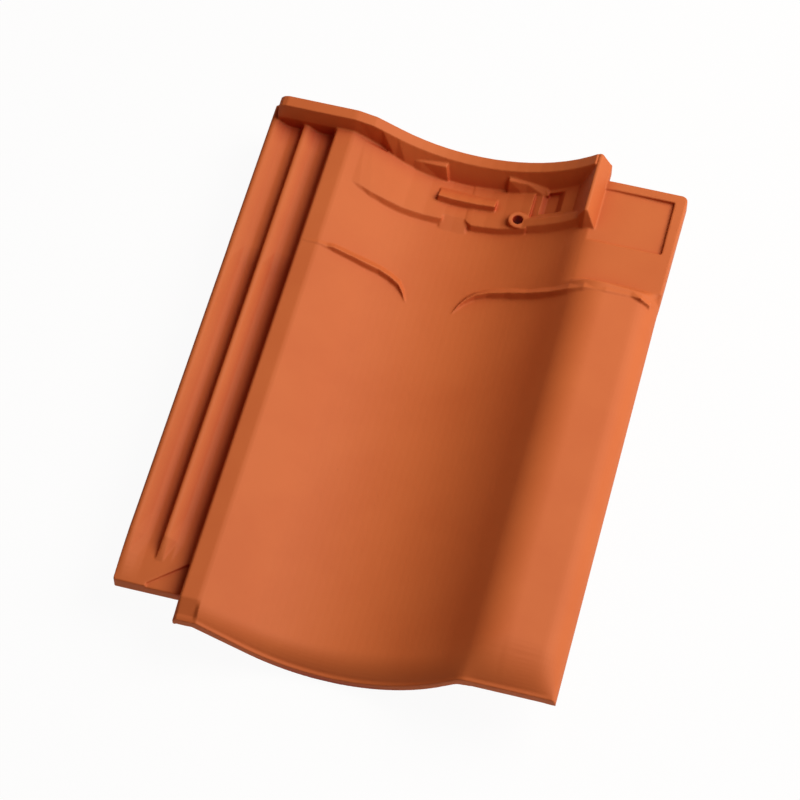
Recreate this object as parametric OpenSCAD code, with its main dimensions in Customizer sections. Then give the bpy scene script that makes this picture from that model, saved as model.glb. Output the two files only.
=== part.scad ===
// Clay interlocking roof tile: one pressed and fired piece of red clay.
// Side lock on the left, flat rim, hollow pan, high roll with a cover flange on the right,
// rounded nose at the front, upstanding lip, nail hole and relief at the head.
// X runs across the tile, Y from the nose to the head, Z up; the tile lies on the floor.

/* [Overall] */
// Width over the side lock and the roll
tile_width = 261; // [230:1:300]
// Length from the nose to the back of the head lip
tile_length = 359; // [330:1:420]
// Thickness of the clay
clay = 10.5; // [8:0.5:11.5]

/* [Section] */
// Width of the side lock, up to the rim
lock_width = 42; // [38:1:48]
// Width of the flat rim beside the lock
rim_width = 11; // [8:0.5:14]
// Straight part of the pan below the rim
flank_width = 27; // [20:1:34]
// Slope of the pan below the rim
flank_angle = 28; // [22:1:32]
// Steepest slope between the pan and the roll
roll_angle = 42; // [36:1:46]
// Width of the roll, from the hollow of the pan to the right edge
roll_width = 62; // [54:1:70]
// Straight part of the steep slope
steep_width = 8; // [5:0.5:10]
// Rounding of the roll's top
roll_radius = 28; // [24:1:33]
// Slope of the roll from its crest to the right edge
fall_angle = 8; // [5:0.5:12]
// Rounding of the right edge
edge_radius = 16; // [12:0.5:19]

/* [Side lock] */
// Depth of the two channels below the rim
channel_depth = 11.5; // [9:0.5:14]
// Height of the two ribs above the channels
rib_height = 8; // [5:0.5:9]
// Thickness of the lock under its channels
lock_floor = 8; // [6:0.5:10]
// Setback of the lock from the nose
lock_setback = 17.5; // [12:0.5:24]

/* [Nose] */
// Length over which the nose rounds down in the pan
nose_length = 17; // [14:0.5:22]
// Drop of the rounded nose
nose_drop = 4; // [3:0.5:7]
// Further drop of the nose in the middle of the pan
nose_dip = 3; // [0:0.5:4]
// Height of the upright front face
nose_face = 6; // [4:0.5:8]

/* [Head] */
// Thickness of the upstanding lip
lip_thickness = 9; // [6:0.5:12]
// Height of the lip above the pan
lip_height = 12; // [9:0.5:16]
// Setback of the cover flange from the head
flange_setback = 12; // [10:0.5:20]
// Step from the roll's crest down to the cover flange
flange_drop = 7.6; // [6:0.2:9]
// How far the flange stands out past the roll's right edge
flange_flare = 1.2; // [0:0.2:4]
// Height of the steps in front of the lip
relief = 4; // [2:0.5:5]
// Depth of the bare sunk field on the flange, at its shallow left end
field_depth = 1; // [0.5:0.1:2]

/* [Water bars] */
// Distance of the water bars from the head
bar_setback = 96; // [80:1:110]
// Height of the water bars
bar_height = 3.5; // [2:0.5:5]

/* [Fixing] */
// Diameter of the nail hole
nail_bore = 6.2; // [4:0.1:8]
// Diameter of the boss around the nail hole
nail_boss = 12; // [10:0.5:16]
// Distance of the nail hole from the head
nail_setback = 38.5; // [36:0.5:42]
// Width of each batten nib
nib_width = 26; // [18:1:36]
// Thickness of the batten nibs
nib_thickness = 14; // [10:1:20]

/* [Hidden] */

clay_colour = [0.76, 0.39, 0.24];

// Section: lines where rim, straight flank, hollow, steep slope, roll, fall and rounded edge meet
x_rim = lock_width + rim_width;
x_flank = x_rim + flank_width;
x_steep = tile_width - roll_width;
r_pan = (x_steep - x_flank) / (sin(flank_angle) + sin(roll_angle));
x_low = x_flank + r_pan * sin(flank_angle);
x_round = x_steep + steep_width;
x_crest = x_round + roll_radius * sin(roll_angle);
x_fall = x_crest + roll_radius * sin(fall_angle);
x_edge = tile_width - edge_radius * (1 - sin(fall_angle));

// Heights: the lowest edge of the nose touches the floor
z_low = nose_drop + nose_dip + nose_face;
z_flank = z_low + r_pan * (1 - cos(flank_angle));
z_rim = z_flank + flank_width * tan(flank_angle);
z_steep = z_low + r_pan * (1 - cos(roll_angle));
z_round = z_steep + steep_width * tan(roll_angle);
z_crest = z_round + roll_radius * (1 - cos(roll_angle));
z_fall = z_crest - roll_radius * (1 - cos(fall_angle));
z_edge = z_fall - (x_edge - x_fall) * tan(fall_angle) - edge_radius * cos(fall_angle);
z_channel = z_rim - channel_depth;
z_rib = z_channel + rib_height;
z_lock = z_channel - lock_floor;
z_flange = z_crest - flange_drop;

// Upper face of rim, pan, roll and right edge at one place across the tile
function face_z(x) =
    x < x_rim ? z_rim :
    x < x_flank ? z_flank + (x_flank - x) * tan(flank_angle) :
    x < x_steep ? z_low + r_pan - sqrt(r_pan * r_pan - (x - x_low) * (x - x_low)) :
    x < x_round ? z_steep + (x - x_steep) * tan(roll_angle) :
    x < x_fall ? z_crest - roll_radius + sqrt(roll_radius * roll_radius - (x - x_crest) * (x - x_crest)) :
    x < x_edge ? z_fall - (x - x_fall) * tan(fall_angle) :
    z_edge + sqrt(max(0, edge_radius * edge_radius - pow(x - tile_width + edge_radius, 2)));

// Hump over the pan: 1 in its middle, 0 at the rim and at the roll
function hump(x) = max(0, 1 - pow((2 * x - x_rim - x_steep) / (x_steep - x_rim), 2));

// The front of the roll hangs level from the corner where it leaves the pan
x_cap = x_steep + 7.4;
z_cap = face_z(x_cap) - nose_drop;
z_wall = z_cap - nose_face;

// Places along the tile
y_bar = tile_length - bar_setback;
y_field = y_bar + 39;
y_flange = tile_length - flange_setback;
y_step = tile_length - 48;
y_lip = tile_length - lip_thickness;
y_nail = tile_length - nail_setback;
y_nib = tile_length - 28;
y_rib = nose_length + 18;
x_nail = x_low + 34;
x_lip = x_steep + 4;
x_ridge = x_lip + 9.4;

// Side lock: [x, height as a part of the ribs, 1 on the inner rib] across, and how its floor
// and its ribs change along the tile
lock_points = [
    [0, 0.75, 0], [1.2, 0.95, 0], [2.6, 1, 0], [4, 0.92, 0], [9.5, 0.22, 0], [13, 0, 0], [19.6, 0, 0],
    [20.8, 0.93, 1], [22.2, 1, 1], [23.8, 0.92, 1], [28.7, 0.22, 1], [32.2, 0, 0],
    [lock_width - 2.2, 0, 0]];
function lock_floor_z(y) = z_channel + lookup(y, [
    [0, 3], [y_rib, 3], [y_rib + 32, 0.8], [y_bar - 86, 0.8], [y_bar - 20, 0], [y_bar - 7.4, 2.2]]);
function inner_rib(y) = lookup(y, [[y_rib, 0], [y_rib + 14, 1]]);
function outer_rib(y) = lookup(y, [[lock_setback, 0], [y_rib - 6, 0.5], [y_rib + 14, 1]]);
function lock_z(p, y) = lock_floor_z(y)
    + p[4] * (z_rib - lock_floor_z(y)) * (p[5] > 0 ? inner_rib(y) : outer_rib(y));

// Pairs of upper and lower points round the section, left to right
function arc_pair(cx, cz, r, a, side) = [
    cx + r * sin(a), cz - side * r * cos(a),
    cx + (r + side * clay) * sin(a), cz - side * (r + side * clay) * cos(a)];
lock_pairs = [for (q = lock_points) [q[0], z_rim, q[0], z_lock, q[1], q[2]]];
rim_bend = clay * tan(flank_angle / 2);
rim_pairs = [
    [lock_width - 0.6, z_rim - 1, lock_width - 0.6, z_lock],
    [lock_width + 0.4, z_rim, lock_width + 0.4, z_lock],
    [lock_width + 4, z_rim, lock_width + 3, z_rim - clay],
    [x_rim - 1, z_rim, x_rim - 1 - rim_bend, z_rim - clay],
    [x_rim + 1, face_z(x_rim + 1), x_rim + 1 - rim_bend, face_z(x_rim + 1) - clay]];
pan_pairs = [for (i = [0:28]) let(a = -flank_angle + i / 28 * (flank_angle + roll_angle))
    arc_pair(x_low, z_low + r_pan, r_pan, a, 1)];
steep_pairs = [for (t = [0.25, 0.5, 0.75]) let(x = x_steep + t * steep_width)
    [x, face_z(x), x + clay * sin(roll_angle), face_z(x) - clay * cos(roll_angle)]];
roll_pairs = [for (i = [0:18]) let(a = -roll_angle + i / 18 * (roll_angle + fall_angle))
    arc_pair(x_crest, z_crest - roll_radius, roll_radius, a, -1)];
edge_end = 90 - asin(max(0, z_wall + 1.5 - z_edge) / edge_radius);
edge_pairs = [for (i = [0:10])
    let(q = arc_pair(tile_width - edge_radius, z_edge, edge_radius,
        fall_angle + i / 10 * (edge_end - fall_angle), -1))
    [q[0], q[1], q[2], max(q[3], z_wall + 0.3)]];
wall_pairs = [[tile_width, z_wall, tile_width - clay, z_wall]];
pairs = concat(lock_pairs, rim_pairs, pan_pairs, steep_pairs, roll_pairs, edge_pairs, wall_pairs);

// Nose: the upper face rounds down to a narrow ledge, the lower face closes the front,
// and the rim ends in a short step
ledge = 2;
turn = 0.6;
function nose_run(x) = lookup(x, [[x_rim, 0.7 * nose_length], [x_low, 0.9 * nose_length],
    [x_low + 30, nose_length], [x_steep, nose_length], [x_crest, nose_length + 13],
    [tile_width, nose_length + 10]]);
function nose_round(x, y) =
    let(run = nose_run(x), u = turn * max(0, min(1, (run - y) / (run - ledge))))
    (1 - sqrt(1 - u * u)) / (1 - sqrt(1 - turn * turn));
function nose_in(x, y) = x < x_rim ?
    lookup(y, [[0, 1], [0.21 * nose_length, 0.9], [0.74 * nose_length, 0]]) : nose_round(x, y);
function nose_under(y) = min(1, max(0, (nose_length + 4 - y) / (nose_length - 6)));
function soft_min(a, b, k) = let(h = max(0, min(1, 0.5 + (b - a) / (2 * k))))
    b + (a - b) * h - k * h * (1 - h);
function nose_edge(p) = p[0] < lock_width - 1 ? p[1] :
    p[0] < x_rim ? p[1] - nose_drop - 1 :
    p[0] < x_crest ? soft_min(p[1] - nose_drop - nose_dip * hump(p[0]), z_cap, 3) : min(p[1], z_cap);

// Head: behind the water bars the roll steps down to the level cover flange, which stands out
// a little more towards the head
y_drop = y_bar + 6;
drop_run = 4.5;
flange_round = 4;
function head_in(y) = min(1, max(0, (y - y_drop) / drop_run));
function flare(p, y) = max(0, (p[0] - x_crest) / (tile_width - x_crest))
    * lookup(y, [[y_bar, 0], [y_drop, 0.25 * flange_flare], [y_flange - flange_round, flange_flare]]);
function shoulder(d) = d > flange_drop ? d : pow(max(0, d + flange_drop), 2) / (4 * flange_drop);
function head_fall(p, y) = let(d = p[1] - z_flange)
    p[0] < x_steep ? 0 : head_in(y) * (p[0] > x_crest ? max(0, d) : shoulder(d));
function edge_lift(p, y) = p[0] < x_crest || p[1] <= z_wall ? 0 :
    head_in(y) * max(0, z_flange - p[1] - (p[0] < tile_width - 0.6 ? 0 : 0.8));

function upper(p, y) = len(p) > 4 ?
    [p[0], y, min(lock_z(p, y), z_rim - 1 - nose_drop * nose_in(p[0], y))] : [p[0] + flare(p, y), y,
    p[1] - (p[1] - nose_edge(p)) * nose_in(p[0], y) - head_fall(p, y) + edge_lift(p, y)
    - (y < ledge ? 0.5 : 0)];
function lower(p, y) = let(
    low = p[0] < lock_width - 1 ? z_rim - 1 - nose_drop - nose_face :
        p[0] < x_cap ? nose_edge(p) - nose_face : z_wall,
    x = p[0] > x_rim + 2 && p[0] < x_cap ? p[2] + (p[0] - p[2]) * nose_under(y) : p[2])
    [x + flare(p, y), y, p[3] + (low - p[3]) * nose_under(y) - head_fall(p, y)];

// Closed skin through rows of upper and lower points
module skin(up, down) {
    n = len(up[0]);
    m = len(up);
    k = n * m;
    polyhedron(concat([for (r = up) each r], [for (r = down) each r]), concat(
        [for (j = [0:m - 2], i = [0:n - 2]) let(a = j * n + i)
            each [[a, a + n, a + n + 1], [a, a + n + 1, a + 1]]],
        [for (j = [0:m - 2], i = [0:n - 2]) let(a = k + j * n + i)
            each [[a, a + n + 1, a + n], [a, a + 1, a + n + 1]]],
        [for (j = [0:m - 2]) let(a = j * n)
            each [[a, k + a, k + a + n], [a, k + a + n, a + n]]],
        [for (j = [0:m - 2]) let(a = j * n + n - 1)
            each [[a, k + a + n, k + a], [a, a + n, k + a + n]]],
        [for (i = [0:n - 2]) each [[i, i + 1, k + i + 1], [i, k + i + 1, k + i]]],
        [for (i = [0:n - 2]) let(a = (m - 1) * n + i)
            each [[a, k + a + 1, a + 1], [a, k + a, k + a + 1]]]), convexity = 10);
}

// Rows of the shell: close together round the nose and at the steps of the lock
rows = concat([0, ledge],
    [for (t = [0.21, 0.31, 0.42, 0.53, 0.63, 0.74, 0.87, 1]) t * nose_length],
    [for (d = [4, 7, 10, 13, 18, 32, 50]) nose_length + d],
    [y_bar - 86, y_bar - 20, y_bar - 7.4, y_bar, y_drop, y_drop + drop_run,
        y_flange - flange_round, tile_length]);
module shell() {
    difference() {
        skin([for (y = rows) [for (p = pairs) upper(p, y)]],
            [for (y = rows) [for (p = pairs) lower(p, y)]]);
        translate([-1, -1, -1]) cube([lock_width - 0.7, lock_setback + 1, z_crest + 2]);
        translate([1.2, lock_setback + 1.2, -1]) rotate(180) corner(1.2);
        foot_recess();
        translate([x_ridge, y_flange, -1]) cube([tile_width, flange_setback + 1, z_crest + 2]);
        translate([tile_width + flange_flare - flange_round, y_flange - flange_round, -1])
            corner(flange_round);
        sunk_field();
    }
}

// Three-cornered recess on the foot of the lock
module foot_recess() {
    translate([0, lock_setback, z_channel + 1.6]) linear_extrude(20)
        polygon([[19, -1], [lock_width - 1, -1], [lock_width - 2, 20.5], [19, 2.5]]);
}

// Bare field sunk into the cover flange, deeper to the right
module sunk_field() {
    margin = 6.2;
    tilt = 1.6;
    translate([x_lip, y_field, z_flange - field_depth]) rotate([0, tilt, 0])
        cube([tile_width - margin - x_lip, y_flange - margin - y_field, 20]);
}

// Rounding cut off an upright corner
module corner(r) {
    linear_extrude(z_crest + 2) difference() {
        square(r + 1);
        circle(r, $fn = 32);
    }
}

// Ridge lying across the tile: each station is [x, y front, y crest, y back, height]
module strip(stations) {
    skin([for (s = stations) let(z = face_z(s[0]))
            [[s[0], s[3], z - 0.3], [s[0], s[2], z + s[4]], [s[0], s[1], z - 0.3]]],
        [for (s = stations) let(z = face_z(s[0]) - 4) [[s[0], s[3], z], [s[0], s[2], z], [s[0], s[1], z]]]);
}

// Water bars: a left and a right ridge turning to the nose at the middle of the pan,
// and a short nick at the right edge
function left_x(t) = x_rim + t * (x_low - x_rim);
function right_x(t) = x_low + t * (tile_width - x_low);
module water_bars() {
    h = bar_height;
    strip([for (s = [[-0.12, -0.8, 0, 3, 0.1], [0, -0.8, 0, 3.5, 0.15], [0.07, -1, 0.3, 4, 0.3],
        [0.13, -1, 1, 5.3, 0.9], [0.3, -0.9, 1.2, 6, 1], [0.487, -0.9, 1.4, 6.3, 1],
        [0.58, -2.5, -0.2, 4.8, 1], [0.667, -5.3, -3, 2, 0.9], [0.71, -8.8, -6.8, -2.5, 0.6],
        [0.755, -13.3, -12.2, -10, 0.1]])
        [left_x(s[0]), y_bar + s[1], y_bar + s[2], y_bar + s[3], s[4] * h]]);
    strip([for (s = [[0.076, -14, -12.5, -11, 0.1], [0.095, -10, -7.5, -4, 0.5],
        [0.122, -5, -2.7, 2, 0.8], [0.16, -1.2, 1.2, 6, 1], [0.213, 0.8, 3.2, 8.5, 1],
        [0.297, 1, 3.6, 9.5, 1.1], [0.397, -0.4, 2.4, 7.5, 1.1], [0.504, -2, 0.6, 6.3, 1],
        [0.588, -3.2, -0.5, 5.7, 0.8], [0.656, -2.6, 0, 5.7, 0.45], [0.756, -1.5, 0, 5, 0.2],
        [0.87, 0.3, 1.5, 6, 0.15], [0.92, -1, 0.5, 5, 0.8], [0.965, -2.5, -0.8, 4, 0.8]])
        [right_x(s[0]), y_bar + s[1], y_bar + s[2], y_bar + s[3], s[4] * h]]);
}

// Lip across the head: lower over the lock and the rim, rounded down at its left end
function lip_z(x) = face_z(x) + lip_height + 2.2 * hump(x)
    - lookup(x, [[4, 6], [6, 4], [9, 3], [x_rim, 3], [x_rim + 12, 0]]);
function lip_foot(x) = y_lip - lookup(x, [
    [x_rim + 17, 1.5], [x_rim + 32, 7], [x_low + 20, 6.5], [x_low + 46, 4.5]]);
module head_lip() {
    xs = concat([4, 6, 9, lock_width - 1, lock_width + 4, x_rim - 1, x_rim + 1, x_rim + 12, x_rim + 17],
        [for (i = [0:16]) x_flank + i / 16 * (x_steep - x_flank)], [x_lip]);
    skin([for (x = xs) [[x, tile_length, lip_z(x) - 1], [x, tile_length - 1, lip_z(x)],
            [x, y_lip + 1, lip_z(x)], [x, lip_foot(x), face_z(x) - 0.5]]],
        [for (x = xs) let(b = x < lock_width ? z_channel - 3 : face_z(x) - 6)
            [[x, tile_length, b], [x, tile_length - 1, b], [x, y_lip + 1, b], [x, lip_foot(x), b]]]);
}

// Ridge along the right end of the lip, sloping down to the cover flange and to the nose
function flat_z(x) = x < x_steep ? face_z(x) : face_z(x) - shoulder(face_z(x) - z_flange);
module head_ridge() {
    xs = [x_lip - 8, x_lip + 1.3, x_lip + 3.1, x_ridge];
    ys = [tile_length, tile_length - 42.8, tile_length - 49];
    foot = [flat_z(xs[0]), flat_z(xs[1]), flat_z(xs[2]), z_flange - field_depth];
    top = [foot[0] - 0.5, lip_z(x_lip), lip_z(x_lip), foot[3] - 0.5];
    skin([for (i = [0:3]) [for (j = [0:2]) [xs[i], ys[j], j < 2 ? top[i] : foot[i] - 0.5]]],
        [for (i = [0:3]) [for (y = ys) [xs[i], y, foot[i] - 6]]]);
}

// Patch raised on the pan: each station is [x, y front, run of the front, height, y back, height there]
module patch(stations) {
    skin([for (s = stations) let(z = face_z(s[0]))
            [[s[0], s[4], z + s[5]], [s[0], s[1] + s[2], z + s[3]], [s[0], s[1], z - 0.4]]],
        [for (s = stations) let(z = face_z(s[0]) - 4)
            [[s[0], s[4], z], [s[0], s[1] + s[2], z], [s[0], s[1], z]]]);
}

// Block with a level top in front of the lip, from one place across the tile to another
module block(x_from, x_to) {
    z = z_low + 12.8;
    xs = [x_from, (x_from + x_to) / 2, x_to, x_to + 2.5];
    skin([for (x = xs) let(foot = min(z, face_z(x)) - 0.4, top = x > x_to ? foot : z)
            [[x, y_lip + 0.5, top], [x, y_lip - 3.5, top], [x, y_lip - 8, foot]]],
        [for (x = xs) let(b = face_z(x) - 5)
            [[x, y_lip + 0.5, b], [x, y_lip - 3.5, b], [x, y_lip - 8, b]]]);
}

// Relief in front of the lip: a step left of the middle, a drain, a step up to the nail hole,
// and a pad between them
module head_steps() {
    back = y_lip - 4;
    patch([for (s = [[-69, 0.6, 0.02], [-64, 0, 0.35], [-57, -1.4, 0.65], [-48, -1.9, 0.85],
        [-36, -2.1, 0.85], [-24, -1.2, 0.85], [-12, 0, 0.85]])
        [x_low + s[0], y_step + s[1] + 0.6, 2.8, s[2] * relief, back, s[2] * relief / 3]]);
    patch([for (x = [-13, -5, 3.5]) [x_low + x, y_step - 3.5, 11, 0.75 * relief, back, relief / 4]]);
    patch([for (s = [[2, 3, 0.85], [6, 0, 1], [14, 0, 1], [24, 0, 1], [34, 0.5, 1], [40, 0.8, 1]])
        [x_low + s[0], y_step + s[1] + 0.6, 2.4, s[2] * relief, back, relief / 3]]);
    patch([for (x = [-18, -9, 0, 9, 18]) [x_low + x, y_step + 13.8, 3.4, relief + 3, y_step + 28, 1]]);
}

// Dam from the nail hole to the ridge: each station is [part of the way, y foot, y crest, height]
module head_dam() {
    dam = [for (s = [[0, 3, 5, 0], [0.22, 1.8, 5.2, 0.5], [0.42, 1.2, 5, 0.8], [0.65, 1, 4.6, 1],
        [0.85, 1, 4.4, 1.2], [1, 1, 4.2, 1.5]]) let(x = x_nail + 2 + s[0] * (x_lip - x_nail - 2))
        [x, y_step + s[1], y_step + s[2], face_z(x), face_z(x) + relief + s[3]]];
    skin([for (d = dam) [[d[0], y_step + 16, d[3] - 0.4], [d[0], d[2] + 5, d[4]],
            [d[0], d[2], d[4]], [d[0], d[1], d[3] - 0.4]]],
        [for (d = dam) [for (y = [y_step + 16, d[2] + 5, d[2], d[1]]) [d[0], y, d[3] - 4]]]);
}

// Groove sunk between the dam and the lip
module groove() {
    translate([0, y_lip - 6, 0]) rotate([90, 0, 0]) linear_extrude(16) polygon([
        [x_nail + 11, face_z(x_nail + 11)], [x_nail + 14, face_z(x_nail + 14) - 3.5],
        [x_nail + 21, face_z(x_nail + 21) - 4], [x_nail + 25, face_z(x_nail + 25) + 0.5],
        [x_nail + 25, z_crest + 20], [x_nail + 11, z_crest + 20]]);
}

// Batten nibs under the head, level with the lowest edge of the nose
x_nibs = [x_low - 50, x_low + 50];
module nibs() {
    for (x = x_nibs)
        translate([x - nib_width / 2, y_nib, 0])
            cube([nib_width, nib_thickness, face_z(x < x_low ? x + nib_width / 2 : x - nib_width / 2) - 5]);
}

// Nail hole with a low boss round it, to the right of the middle of the pan
z_nail = face_z(x_nail) + relief + 1.5;

module roof_tile() {
    color(clay_colour) translate([-(tile_width + flange_flare) / 2, -tile_length / 2, 0]) difference() {
        union() {
            difference() {
                union() {
                    shell();
                    head_steps();
                    head_dam();
                }
                groove();
            }
            head_lip();
            head_ridge();
            block(x_low - 49, x_low - 17);
            block(x_low + 22, x_low + 46);
            water_bars();
            nibs();
            translate([x_nail, y_nail, z_nail - 9]) cylinder(d = nail_boss, h = 9, $fn = 48);
        }
        translate([x_nail, y_nail, -1]) cylinder(d = nail_bore, h = z_crest, $fn = 48);
    }
}

roof_tile();
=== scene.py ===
import math

import bpy
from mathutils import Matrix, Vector


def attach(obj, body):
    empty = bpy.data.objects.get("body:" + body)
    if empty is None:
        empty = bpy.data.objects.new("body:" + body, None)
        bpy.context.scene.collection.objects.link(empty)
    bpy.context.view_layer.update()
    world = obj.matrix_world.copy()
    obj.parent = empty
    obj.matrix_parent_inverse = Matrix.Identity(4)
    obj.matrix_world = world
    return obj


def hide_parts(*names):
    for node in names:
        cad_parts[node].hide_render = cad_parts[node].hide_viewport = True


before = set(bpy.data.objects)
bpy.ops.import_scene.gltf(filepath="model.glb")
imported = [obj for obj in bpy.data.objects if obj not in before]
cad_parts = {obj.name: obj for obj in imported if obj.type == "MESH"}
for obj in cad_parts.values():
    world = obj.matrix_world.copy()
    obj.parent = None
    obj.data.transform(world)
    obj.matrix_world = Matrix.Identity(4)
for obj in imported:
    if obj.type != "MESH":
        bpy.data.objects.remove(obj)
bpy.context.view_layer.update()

# The tile: one piece of red clay, pressed between two moulds and fired once.
# The moulds leave every edge a little round, and the thin slip that is sprayed
# on before firing softens the foot of each rib and step.
WELD_REACH = 0.00001
EDGE_GRAIN = 0.00055
SOFTEN_SHARE = 0.5
SOFTEN_ROUNDS = 2
TILE_TRIANGLES = 190_000

bpy.ops.object.select_all(action="DESELECT")
tile = bpy.data.objects.new("tile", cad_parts["roof_tile"].data.copy())
bpy.context.scene.collection.objects.link(tile)
tile.select_set(True)
bpy.context.view_layer.objects.active = tile
tile.data.materials.clear()

bpy.ops.object.mode_set(mode="EDIT")
bpy.ops.mesh.select_all(action="SELECT")
bpy.ops.mesh.remove_doubles(threshold=WELD_REACH)
bpy.ops.object.mode_set(mode="OBJECT")

remesh = tile.modifiers.new("even_skin", "REMESH")
remesh.mode = "VOXEL"
remesh.voxel_size = EDGE_GRAIN
bpy.ops.object.modifier_apply(modifier=remesh.name)

soften = tile.modifiers.new("softened_edges", "SMOOTH")
soften.factor = SOFTEN_SHARE
soften.iterations = SOFTEN_ROUNDS
bpy.ops.object.modifier_apply(modifier=soften.name)

thin = tile.modifiers.new("fewer_faces", "DECIMATE")
thin.ratio = TILE_TRIANGLES / (2 * len(tile.data.polygons))
bpy.ops.object.modifier_apply(modifier=thin.name)
bpy.ops.object.shade_smooth()


def linear(hex_colour):
    """An sRGB hex colour as linear RGBA."""
    parts = [int(hex_colour[i:i + 2], 16) / 255 for i in (0, 2, 4)]
    return [p / 12.92 if p <= 0.04045 else ((p + 0.055) / 1.055) ** 2.4 for p in parts] + [1]


def add_node(tree, kind, links=(), **settings):
    """Adds a node, sets its properties and inputs, and links (input, node, output) triples."""
    node = tree.nodes.new(kind)
    for name, value in settings.items():
        if hasattr(node, name):
            setattr(node, name, value)
        else:
            node.inputs[name.replace("_", " ")].default_value = value
    for socket, source, output in links:
        tree.links.new(source.outputs[output], node.inputs[socket])
    return node


def add_ramp(tree, source, output, positions, colours):
    """Adds a ramp that turns a node's output into one of two colours, blended between two positions."""
    ramp = add_node(tree, "ShaderNodeValToRGB", [("Fac", source, output)])
    for i in (0, 1):
        ramp.color_ramp.elements[i].position = positions[i]
        ramp.color_ramp.elements[i].color = colours[i]
    return ramp


# Fired red clay under a thin satin slip: an even orange-brown with faint clouds,
# a few dark specks of ore, and a fine sandy grain that breaks up the soft sheen.
# Corners and channels get painted shade: a deeper red mixed in by ambient occlusion.
CLAY_COLOUR = "D26F36"
CLAY_DARK = "CE6A32"
PAINTED_SHADE_COLOUR = "AA2E00"
CLAY_ROUGHNESS = 0.7
CLAY_IOR = 1.5
CLOUD_SIZE = 0.045
CLOUD_RANGE = (0.35, 0.62)
CORNER_REACH = 0.016
CORNER_RANGE = (0.35, 0.96)
ORE_COLOUR = "6A3218"
ORE_SIZE = 0.0009
ORE_SPACING = 0.05
ORE_RANGE = (0.4 * ORE_SIZE / ORE_SPACING, 0.7 * ORE_SIZE / ORE_SPACING)
SAND_SIZE = 0.0011
SAND_DEPTH = 0.00004
MASK = (linear("000000"), linear("FFFFFF"))

clay = bpy.data.materials.new("fired_clay_slip")
clay.use_nodes = True
tree = clay.node_tree
shader = tree.nodes["Principled BSDF"]
place = add_node(tree, "ShaderNodeTexCoord")
clouds = add_node(
    tree, "ShaderNodeTexNoise", [("Vector", place, "Object")], Scale=1 / CLOUD_SIZE, Detail=4.0
)
tones = add_ramp(tree, clouds, "Fac", CLOUD_RANGE, (linear(CLAY_DARK), linear(CLAY_COLOUR)))
# Painted shade: the ambient occlusion mask mixes the deeper red into corners, channels and the feet of
# steps.
corners = add_node(tree, "ShaderNodeAmbientOcclusion", samples=12, Distance=CORNER_REACH)
painted_shade_mask = add_ramp(tree, corners, "AO", CORNER_RANGE, MASK)
tones_with_painted_shade = add_node(
    tree,
    "ShaderNodeMixRGB",
    [("Fac", painted_shade_mask, "Color"), ("Color2", tones, "Color")],
    Color1=linear(PAINTED_SHADE_COLOUR),
)
ore = add_node(tree, "ShaderNodeTexVoronoi", [("Vector", place, "Object")], Scale=1 / ORE_SPACING)
speck = add_ramp(tree, ore, "Distance", ORE_RANGE, MASK)
skin = add_node(
    tree,
    "ShaderNodeMixRGB",
    [("Fac", speck, "Color"), ("Color2", tones_with_painted_shade, "Color")],
    Color1=linear(ORE_COLOUR),
)
sand = add_node(
    tree, "ShaderNodeTexNoise", [("Vector", place, "Object")], Scale=1 / SAND_SIZE, Detail=2.0
)
grain = add_node(tree, "ShaderNodeBump", [("Height", sand, "Fac")], Strength=0.5, Distance=SAND_DEPTH)
tree.links.new(skin.outputs["Color"], shader.inputs["Base Color"])
tree.links.new(grain.outputs["Normal"], shader.inputs["Normal"])
shader.inputs["Roughness"].default_value = CLAY_ROUGHNESS
shader.inputs["IOR"].default_value = CLAY_IOR
tile.data.materials.append(clay)

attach(tile, "root")
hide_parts("roof_tile")

# The floor: a smooth white studio table, much wider than the view. It looks nearly
# white by itself and keeps a faint shadow, and it throws no more light on the tile.
FLOOR_WIDTH = 6.0
FLOOR_COLOUR = "F4F4F4"
FLOOR_ROUGHNESS = 0.9
FLOOR_WHITENESS = 0.95
bpy.ops.object.select_all(action="DESELECT")
bpy.ops.mesh.primitive_plane_add(size=FLOOR_WIDTH, location=(0, 0, 0))
floor = bpy.context.object
floor.name = "floor"
paper = bpy.data.materials.new("white_paper")
paper.use_nodes = True
tree = paper.node_tree
shader = tree.nodes["Principled BSDF"]
shader.inputs["Base Color"].default_value = linear(FLOOR_COLOUR)
shader.inputs["Roughness"].default_value = FLOOR_ROUGHNESS
rays = add_node(tree, "ShaderNodeLightPath")
mirrored = add_node(
    tree,
    "ShaderNodeMath",
    [(0, rays, "Is Glossy Ray"), (1, rays, "Is Transmission Ray")],
    operation="MAXIMUM",
)
looked_at = add_node(
    tree, "ShaderNodeMath", [(0, rays, "Is Camera Ray"), (1, mirrored, 0)], operation="MAXIMUM"
)
glow = add_node(tree, "ShaderNodeEmission", Color=linear("FFFFFF"), Strength=1.0)
bright = add_node(
    tree, "ShaderNodeMixShader", [(1, shader, "BSDF"), (2, glow, "Emission")], Fac=FLOOR_WHITENESS
)
seen = add_node(
    tree, "ShaderNodeMixShader", [(0, looked_at, 0), (1, shader, "BSDF"), (2, bright, 0)]
)
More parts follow.
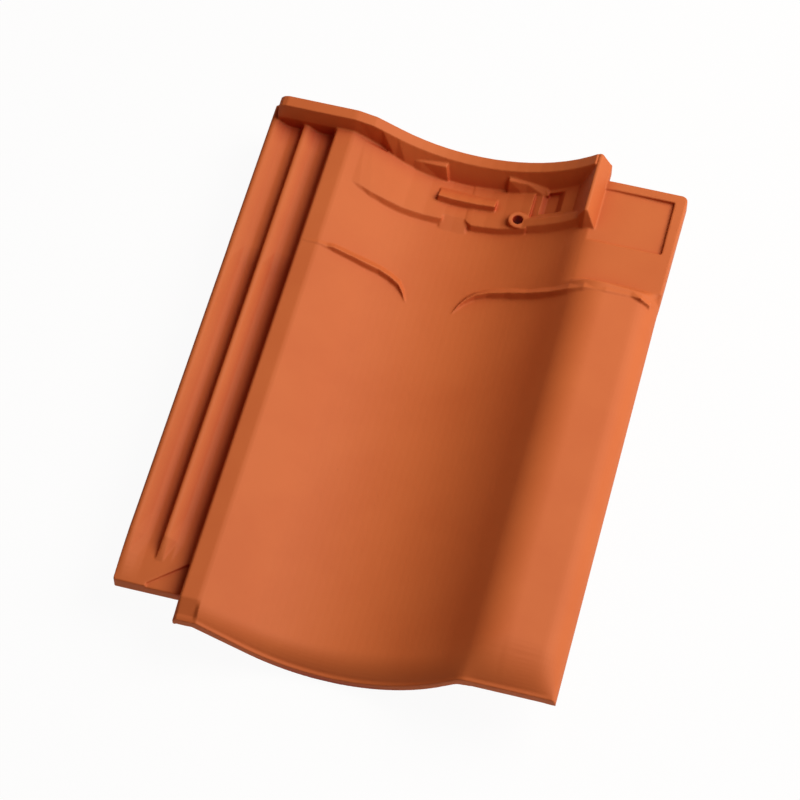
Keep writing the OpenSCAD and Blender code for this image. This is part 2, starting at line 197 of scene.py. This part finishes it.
tree.links.new(seen.outputs[0], tree.nodes["Material Output"].inputs["Surface"])
floor.data.materials.append(paper)

# The light: one soft box high at the right and behind, which models the hollow of
# the pan, and a dim warm room that fills the shadows.
SOFT_BOX_PLACE = Vector((0.96, 0.46, 1.2))
SOFT_BOX_AIM = Vector((0, 0, 0.025))
SOFT_BOX_SIZE = 1.2
SOFT_BOX_POWER = 28.5
SOFT_BOX_COLOUR = "FFF6EC"
ROOM_COLOUR = "FFC49C"
ROOM_LIGHT = 0.14
bpy.ops.object.light_add(
    type="AREA",
    location=SOFT_BOX_PLACE,
    rotation=(SOFT_BOX_AIM - SOFT_BOX_PLACE).to_track_quat("-Z", "Y").to_euler(),
)
soft_box = bpy.context.object
soft_box.name = "soft_box"
soft_box.data.size = SOFT_BOX_SIZE
soft_box.data.energy = SOFT_BOX_POWER
soft_box.data.color = linear(SOFT_BOX_COLOUR)[:3]

room = bpy.data.worlds.new("room")
room.use_nodes = True
room.node_tree.nodes["Background"].inputs["Color"].default_value = linear(ROOM_COLOUR)
room.node_tree.nodes["Background"].inputs["Strength"].default_value = ROOM_LIGHT
bpy.context.scene.world = room

# The camera: a long lens above the nose, a little to the right of it.
VIEW_AZIMUTH = math.radians(14.598)
VIEW_ELEVATION = math.radians(58.365)
VIEW_DISTANCE = 1.8872
VIEW_TARGET = Vector((-0.005709, 0.001352, 0.0184))
VIEW_LENS = 144
VIEW_SENSOR = 36
towards_eye = Vector((
    math.sin(VIEW_AZIMUTH) * math.cos(VIEW_ELEVATION),
    -math.cos(VIEW_AZIMUTH) * math.cos(VIEW_ELEVATION),
    math.sin(VIEW_ELEVATION),
))
bpy.ops.object.camera_add(
    location=VIEW_TARGET + towards_eye * VIEW_DISTANCE,
    rotation=(-towards_eye).to_track_quat("-Z", "Y").to_euler(),
)
camera = bpy.context.object
camera.name = "camera"
camera.data.sensor_width = VIEW_SENSOR
camera.data.lens = VIEW_LENS
bpy.context.scene.camera = camera
bpy.context.scene.view_settings.view_transform = "Standard"
